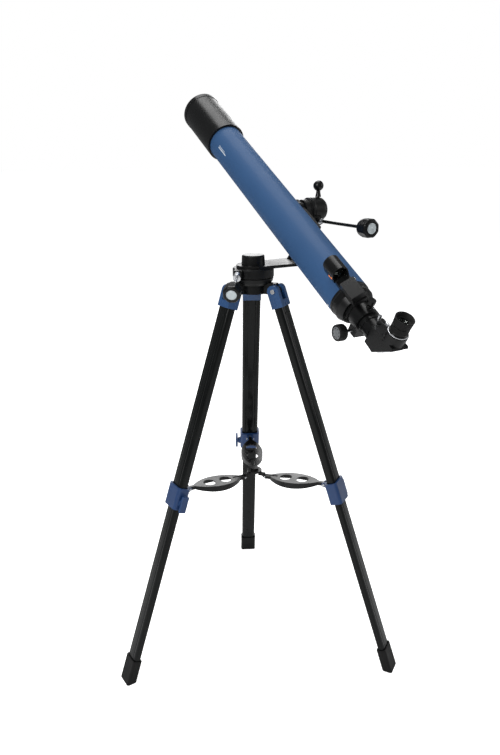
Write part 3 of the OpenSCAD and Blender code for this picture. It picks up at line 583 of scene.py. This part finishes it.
def knob_profile(r, length):
    """Side of a slow-motion knob: it swells as neck + (r - neck - step) x sin(v) against swell x v squared,
    runs straight as a lobed grip, and rolls over the end as a quarter of an ellipse."""
    neck, step, swell = 8, 1, 9
    straight, before_end = 11, 6
    drop, roll = 4, 5
    rows = [(2.8, 0, 0.0)]
    rows += [(neck + (r - neck - step) * math.sin(v * math.pi / 2), swell * v * v, 0.0)
             for v in np.linspace(0, 1, 9)]
    rows += [(r, z, 1.0) for z in np.linspace(straight, length - before_end, 6)]
    rows += [(r - drop * (1 - math.cos(v)), length - roll + roll * math.sin(v), 1.0 - v * 0.5)
             for v in np.linspace(0.2, math.pi / 2, 6)]
    return rows + [(10.6, length, 0.0), (10.2, length - 0.9, 0.0)]


def plate_parts(frame_mm, z, outer, rings):
    """A round end plate with raised concentric rings: each ring is a low ridge between two radii."""
    thick, rise, slope = 1.0, 0.35, 0.3
    rows = [(outer, z - thick), (outer, z)]
    for a, b in rings:
        rows += [(a, z), (a - slope, z + rise), (b + slope, z + rise), (b, z)]
    return (lathe([(r, h) for r, h in rows], 64), "solid", frame_mm)


class TELESCOPE_OT_slow_knobs(bpy.types.Operator):
    """Lobed slow-motion knobs with plain silver end plates"""
    bl_idname = "telescope.slow_knobs"
    bl_label = "Slow-motion knobs"

    def execute(self, context):
        r = context.scene.telescope_sizes.slow_knob / MM
        length, plate_z, plate_r = 30.0, 29.2, 10.0
        ridges = [(9.6, 7.9), (6.3, 4.9), (2.6, 0.6)]
        for name, base, start, body in (("azimuth", AZIMUTH_ROD, AZIMUTH_KNOB_START, "azimuth_control"),
                                        ("altitude", ALTITUDE_ROD, ROD_END, "altitude_control")):
            at = base @ shift(0, 0, start)
            grip = lathe(knob_profile(r, length), 160, lobes=8, depth=1.3, sharp=0.7)
            build(f"{name}_knob_grip", [(grip, "solid", at)], LOOKS["moulded_black"], body,
                  (f"{name}_knob",))
            plate = plate_parts(at, plate_z, plate_r, ridges)
            build(f"{name}_knob_plate", [plate], LOOKS["plate_silver"], body)
        return {"FINISHED"}


class TELESCOPE_OT_focus_knobs(bpy.types.Operator):
    """Ribbed focus knobs with grey faces"""
    bl_idname = "telescope.focus_knobs"
    bl_label = "Focus knobs"

    def execute(self, context):
        r = context.scene.telescope_sizes.focus_knob / MM
        grip = [(3, 0, 0.0), (r - 4.0, 0.2, 0.0), (r - 1.2, 1.2, 0.3), (r, 3.0, 1.0), (r, 8.0, 1.0),
                (r, 14.0, 1.0), (r - 0.9, 16.2, 0.6), (r - 2.2, 17.0, 0.0), (r - 3.2, 17.0, 0.0),
                (r - 3.6, 15.9, 0.0)]
        face_z = 16.6
        face = [(11.0, 15.6), (11.0, 16.3), (10.4, face_z), (6.2, face_z), (5.8, 16.2), (5.2, 16.2),
                (4.9, face_z), (3.4, face_z), (3.0, 16.1)]
        peg_ring, pegs = 8.4, 8
        grips, faces = [], []
        for side in (-1, 1):
            at = along(TUBE, (side * FOCUS_KNOB_OUT, PINION[0], PINION[1]), (side, 0, 0))
            grips.append((lathe(grip, 288, lobes=36, depth=0.7, sharp=1.5), "solid", at))
            faces.append((lathe(face, 72), "solid", at))
            for a in np.arange(pegs) * 2 * math.pi / pegs:
                peg = at @ shift(peg_ring * math.cos(a), peg_ring * math.sin(a), face_z)
                grips.append((dome(1.15, 0.25, 16, 4), "solid", peg))
        build("focus_knob_grips", grips, LOOKS["moulded_black"], "pinion", ("focus_knobs",))
        build("focus_knob_faces", faces, LOOKS["knob_grey"], "pinion")
        return {"FINISHED"}


def eyecup_profile():
    """Side of the eyecup: radius + flare x (share of the rise) - fold x (1 + cos(2 x height)) / 2, then the
    rounded lip and the inside."""
    foot, top, rise = 54.8, 67.6, 12.8
    radius, flare, fold = 16.0, 0.9, 0.35
    z = np.linspace(foot, top, 40)
    outer = radius + flare * (z - foot) / rise - fold * (0.5 + 0.5 * np.cos((z - foot) * 2.0))
    lip = [(17.0, 68.4), (16.4, 68.95), (15.4, 68.6), (14.2, 67.2)]
    inside = [(12.2, 62.3), (9.2, 62.1), (9.2, 60.2), (13.5, 60.1)]
    return [(13.6, 54.6)] + list(zip(outer, z)) + lip + inside


class TELESCOPE_OT_eyepiece_trim(bpy.types.Operator):
    """Folded rubber eyecup, ribbed eyepiece grip and bright shoulder ring"""
    bl_idname = "telescope.eyepiece_trim"
    bl_label = "Eyepiece trim"

    def execute(self, context):
        at = TUBE @ shift(0, MIRROR_S, 0)
        cup = lathe(eyecup_profile(), 120)
        build("eyecup_fold", [(cup, "ring", at)], LOOKS["rubber"], "eyepiece", ("eyecup",))
        rows = [(15.0, 43.4, 0), (15.9, 43.6, 1), (15.95, 47.6, 1), (15.95, 51.6, 1), (15.0, 51.8, 0)]
        grip = lathe(rows, 240, lobes=48, depth=0.45)
        build("eyepiece_grip", [(grip, "ring", at)], LOOKS["rubber"], "eyepiece")
        ring = lathe([(17.5, 37.6), (17.9, 37.75), (18.1, 38.3), (18.0, 39.4), (17.4, 39.7), (16.9, 39.7),
                      (16.9, 37.6)], 96)
        build("eyepiece_shoulder", [(ring, "ring", at)], LOOKS["steel"], "eyepiece")
        return {"FINISHED"}


def on_tube(angle, s, r):
    """Frame on the tube's outside, s along it and r from its axis, whose Z points outwards at an angle."""
    return along(TUBE, (r * math.sin(angle), s, r * math.cos(angle)), (math.sin(angle), 0, math.cos(angle)))


def stripe(angle, start, end, wide):
    """A thin plate bent round the tube: r x sin(a), s, r x cos(a), with r just above and just below the
    tube's surface."""
    over, under = 0.08, 0.05
    a = np.linspace(angle - wide, angle + wide, 9)[None, :]
    s = np.linspace(start, end, 12)[:, None]
    outer, inner = (np.stack([r * np.sin(a) + 0 * s, s + 0 * a, r * np.cos(a) + 0 * s], -1)
                    for r in (TUBE_R + over, TUBE_R - under))
    return np.concatenate([outer, inner[:, ::-1]], axis=1)


class TELESCOPE_OT_tube_trim(bpy.types.Operator):
    """Plain printed stripes, and the screws of the rear cell and the focuser"""
    bl_idname = "telescope.tube_trim"
    bl_label = "Tube trim"

    def execute(self, context):
        marks = [(stripe(*values), "solid", TUBE)
                 for values in ((-1.30, 196, 232, 0.028), (-1.21, 204, 232, 0.014))]
        build("tube_stripes", marks, LOOKS["white_print"], "tube")
        screws = [(dome(2.3, 1.1), "solid", on_tube(angle, CELL_SCREW_S, TUBE_R))
                  for angle in (0.05, 2.14, -2.05)]
        screws += [(dome(1.5, 0.8), "solid", on_tube(angle, HOUSING_SCREW_S, HOUSING_SCREW_R))
                   for angle in (0.35, -0.05)]
        build("cell_screws", screws, LOOKS["steel"], "tube")
        return {"FINISHED"}


class TELESCOPE_OT_finder_trim(bpy.types.Operator):
    """Front window, two amber lamps with a faint painted glow, and a ribbed brightness dial for the finder"""
    bl_idname = "telescope.finder_trim"
    bl_label = "Finder trim"

    def execute(self, context):
        recess = 3
        window = lathe([(12.4, 0), (12.4, 1.0), (9.0, 1.6), (4.0, 1.9), (1.0, 1.95)], 72)
        at = along(FINDER, (0, FINDER_FRONT - recess, TUBE_R + FINDER_UP), (0, 1, 0))
        build("finder_window", [(window, "solid", at)], LOOKS["glass"], "tube")
        lamps = [(dome(2.4, 1.1, 24), "solid",
                  along(FINDER, (LAMP_SIDE, FINDER_FRONT - back, TUBE_R + up), (-1, 0, 0)))
                 for back, up in LAMPS]
        build("finder_lamps", lamps, LOOKS["amber"], "tube")
        rows = [(2.0, 0, 0), (5.6, 0, 0), (6.0, 0.5, 1), (6.0, 3.8, 1), (5.4, 4.3, 0), (1.5, 4.3, 0)]
        dial = lathe(rows, 144, lobes=18, depth=0.5)
        at = along(FINDER, (DIAL_SIDE, FINDER_FRONT - FINDER_LEN + DIAL_IN, TUBE_R + DIAL_UP), (1, 0, 0))
        build("finder_dial_grip", [(dial, "solid", at)], LOOKS["moulded_black"], "finder_dial",
              ("finder_dial",))
        return {"FINISHED"}


def leg_outline(w, d, groove):
    """Section of a leg tube: a squarish closed curve of power 4 with two shallow grooves in each wide face,
    each a bell curve across the width, groove x exp(-((y - place) / spread) squared)."""
    o = rounded_outline(d, w, 4.0, 160)
    y = o[:, 1]
    place, spread = w * 0.24, 1.3
    dip = groove * (np.exp(-((y - place) / spread) ** 2) + np.exp(-((y + place) / spread) ** 2))
    flat = np.abs(o[:, 0]) / (d / 2)
    o[:, 0] -= np.sign(o[:, 0]) * dip * np.clip(flat * 4 - 3, 0, 1)
    return o


class TELESCOPE_OT_leg_sections(bpy.types.Operator):
    """Grooved leg tubes in place of the plain sections"""
    bl_idname = "telescope.leg_sections"
    bl_label = "Leg sections"

    def execute(self, context):
        walls, gap = 3, 0.1
        for k in (1, 2, 3):
            at = leg_frame(k)
            for name, w, d, top, bottom, look, body in (
                    (f"upper_leg_{k}", UPPER_W, UPPER_D, -LEG_START - gap, -UPPER_END,
                     "leg_paint", f"leg_{k}"),
                    (f"lower_leg_{k}", LOWER_W, LOWER_D, -LOWER_START, -LEG_LEN + FOOT_GRIP,
                     "lower_leg_paint", f"lower_leg_{k}")):
                outer, inner = leg_outline(w, d, 0.55), leg_outline(w - walls, d - walls, 0.3)
                rows = prism_rows([outer, outer, inner, inner], [top, bottom, bottom, top])
                build(f"{name}_tube", [(rows, "ring", at)], LOOKS[look], body, (name,))
        return {"FINISHED"}


class TELESCOPE_OT_rivets(bpy.types.Operator):
    """Rivets under the yokes and bright pin heads at the spreader"""
    bl_idname = "telescope.rivets"
    bl_label = "Rivets"

    def execute(self, context):
        r = context.scene.telescope_sizes.rivet / MM
        face_out, row, below = 9.9, 7.5, 14
        pin_out, end_out, end_in = 8.5, 5.3, 3.0
        for k in (1, 2, 3):
            at = leg_frame(k)
            heads = [(dome(r, 0.9), "solid",
                      along(at, (face * face_out, y, -LEG_START - below), (face, 0, 0)))
                     for face in (-1, 1) for y in (-row, row)]
            build(f"yoke_rivets_{k}", heads, LOOKS["leg_paint"], f"leg_{k}")
            pins = [(dome(3.0, 1.0), "solid",
                     along(at, (-SPREAD_IN, side * pin_out, -SPREAD_U), (0, side, 0)))
                    for side in (-1, 1)]
            build(f"spreader_pins_{k}", pins, LOOKS["steel"], f"leg_{k}")
            arm = spreader_frame(k)
            ends = [(dome(2.1, 0.8), "solid",
                     along(arm, (ARM_LEN - end_in, side * end_out, 0), (0, side, 0)))
                    for side in (-1, 1)]
            build(f"hub_pins_{k}", ends, LOOKS["steel"], f"spreader_arm_{k}")
        return {"FINISHED"}


class TELESCOPE_OT_mount_trim(bpy.types.Operator):
    """Black sleeve of the altitude rod, and the upright's screws"""
    bl_idname = "telescope.mount_trim"
    bl_label = "Mount trim"

    def execute(self, context):
        bore, outside, edge = 2.62, 3.2, 0.5
        screw_up = 9
        sleeve = lathe([(bore, SLEEVE_START), (outside, SLEEVE_START), (outside, SLEEVE_START + edge),
                        (outside, SLEEVE_END), (bore, SLEEVE_END)], 48)
        build("altitude_rod_sleeve", [(sleeve, "ring", ALTITUDE_ROD)], LOOKS["leg_paint"],
              "altitude_control")
        screws = [(dome(2.4, 1.1), "solid", along(MOUNT, (ARM_X, y, DISC_TOP + screw_up), (-1, 0, 0)))
                  for y in (-30.0, 0.0)]
        build("upright_screws", screws, LOOKS["steel"], "turntable")
        return {"FINISHED"}


FLOOR_R = 40
FLOOR_GLOW = 0.84
ROOM_COLOUR, ROOM_STRENGTH = (0.96, 0.98, 1.0, 1), 0.20
WHITE = (1, 1, 1, 1)
AIM = (0.0, 0.0, 0.7)
# Each light: its name, place in metres, power in watts and size as a share of the softbox.
LIGHTS = (("key", (-2.6, -1.2, 2.4), 66, 1.0), ("fill", (2.6, -1.6, 1.6), 16, 1.0),
          ("top", (0.4, 0.8, 3.6), 60, 1.3), ("back", (1.4, 2.8, 2.0), 30, 1.0))
CAMERA_PLACE = (-0.58794, -1.17301, 1.07880)
CAMERA_LOOK, CAMERA_UP = (0.4555, 0.8311, -0.3191), (0.1603, 0.276, 0.9477)
CAMERA_LENS, CAMERA_SENSOR = 32.30, 36.0
CAMERA_NEAR, CAMERA_FAR = 0.02, 200


def make_floor(scene):
    """A wide pale disc that brightens only for the camera."""
    count = 96
    a = np.linspace(0, 2 * np.pi, count, endpoint=False)
    mesh = bpy.data.meshes.new("floor")
    mesh.from_pydata(np.stack([FLOOR_R * np.cos(a), FLOOR_R * np.sin(a), 0 * a], -1).tolist(), [],
                     [list(range(count))])
    floor = bpy.data.objects.new("floor", mesh)
    scene.collection.objects.link(floor)
    mat = bpy.data.materials.new("floor")
    mat.use_nodes = True
    tree = mat.node_tree
    shader = tree.nodes["Principled BSDF"]
    coords = tree.nodes.new("ShaderNodeTexCoord").outputs["Object"]
    tone = tuple(scene.telescope_colours.floor)
    patches = mix_colour(tree, noise(tree, coords, 3.0), tuple(v * 0.985 for v in tone), tone)
    tree.links.new(patches, shader.inputs["Base Color"])
    shader.inputs["Roughness"].default_value = 0.8
    shader.inputs["Emission Color"].default_value = WHITE
    seen = tree.nodes.new("ShaderNodeLightPath").outputs["Is Camera Ray"]
    tree.links.new(math_node(tree, "MULTIPLY", seen, FLOOR_GLOW), shader.inputs["Emission Strength"])
    mesh.materials.append(mat)


def make_world(scene):
    """A dim room for the lighting and plain white behind the object."""
    world = bpy.data.worlds.new("studio")
    scene.world = world
    world.use_nodes = True
    sky = world.node_tree
    room = sky.nodes["Background"]
    room.inputs[0].default_value = ROOM_COLOUR
    room.inputs[1].default_value = ROOM_STRENGTH
    backdrop = sky.nodes.new("ShaderNodeBackground")
    backdrop.inputs[0].default_value = WHITE
    choose = sky.nodes.new("ShaderNodeMixShader")
    sky.links.new(sky.nodes.new("ShaderNodeLightPath").outputs["Is Camera Ray"], choose.inputs[0])
    sky.links.new(room.outputs[0], choose.inputs[1])
    sky.links.new(backdrop.outputs[0], choose.inputs[2])
    sky.links.new(choose.outputs[0], sky.nodes["World Output"].inputs[0])


def make_lights(scene):
    """Square area lights, each turned to the middle of the object."""
    side = scene.telescope_sizes.softbox
    for name, place, power, share in LIGHTS:
        data = bpy.data.lights.new(name, "AREA")
        data.energy, data.size = power, side * share
        lamp = bpy.data.objects.new(name, data)
        scene.collection.objects.link(lamp)
        lamp.location = place
        lamp.rotation_mode = "QUATERNION"
        lamp.rotation_quaternion = Vector(np.array(AIM) - np.array(place)).to_track_quat("-Z", "Y")


def make_camera(scene):
    """The camera, from its place, its direction of view and which way is up."""
    look = np.array(CAMERA_LOOK)
    look /= np.linalg.norm(look)
    right = np.cross(look, CAMERA_UP)
    right /= np.linalg.norm(right)
    data = bpy.data.cameras.new("camera")
    data.lens, data.sensor_width = CAMERA_LENS, CAMERA_SENSOR
    data.clip_start, data.clip_end = CAMERA_NEAR, CAMERA_FAR
    camera = bpy.data.objects.new("camera", data)
    scene.collection.objects.link(camera)
    camera.matrix_world = Matrix(basis(CAMERA_PLACE, right, np.cross(right, look), -look).tolist())
    scene.camera = camera


class TELESCOPE_OT_stage(bpy.types.Operator):
    """Pale floor, soft studio lights and the camera"""
    bl_idname = "telescope.stage"
    bl_label = "Stage"

    def execute(self, context):
        scene = context.scene
        make_floor(scene)
        make_world(scene)
        make_lights(scene)
        make_camera(scene)
        scene.view_settings.view_transform = "Standard"
        return {"FINISHED"}


class TELESCOPE_PT_sidebar(bpy.types.Panel):
    """Colours, sizes and one button for each piece"""
    bl_label = "Telescope"
    bl_idname = "TELESCOPE_PT_sidebar"
    bl_space_type = "VIEW_3D"
    bl_region_type = "UI"
    bl_category = "Telescope"

    def draw(self, context):
        layout = self.layout
        for group in (context.scene.telescope_colours, context.scene.telescope_sizes):
            for key in group.__annotations__:
                layout.prop(group, key)
        for operator in OPERATORS:
            layout.operator(operator.bl_idname)


OPERATORS = (TELESCOPE_OT_finishes, TELESCOPE_OT_slow_knobs, TELESCOPE_OT_focus_knobs,
             TELESCOPE_OT_eyepiece_trim, TELESCOPE_OT_tube_trim, TELESCOPE_OT_finder_trim,
             TELESCOPE_OT_leg_sections, TELESCOPE_OT_rivets, TELESCOPE_OT_mount_trim, TELESCOPE_OT_stage)
CLASSES = (TelescopeColours, TelescopeSizes, *OPERATORS, TELESCOPE_PT_sidebar)


def register():
    for cls in CLASSES:
        bpy.utils.register_class(cls)
    bpy.types.Scene.telescope_colours = bpy.props.PointerProperty(type=TelescopeColours)
    bpy.types.Scene.telescope_sizes = bpy.props.PointerProperty(type=TelescopeSizes)


def unregister():
    del bpy.types.Scene.telescope_sizes
    del bpy.types.Scene.telescope_colours
    for cls in reversed(CLASSES):
        bpy.utils.unregister_class(cls)


def main():
    register()
    bpy.ops.telescope.finishes()
    bpy.ops.telescope.slow_knobs()
    bpy.ops.telescope.focus_knobs()
    bpy.ops.telescope.eyepiece_trim()
    bpy.ops.telescope.tube_trim()
    bpy.ops.telescope.finder_trim()
    bpy.ops.telescope.leg_sections()
    bpy.ops.telescope.rivets()
    bpy.ops.telescope.mount_trim()
    bpy.ops.telescope.stage()


if __name__ == "__main__":
    main()
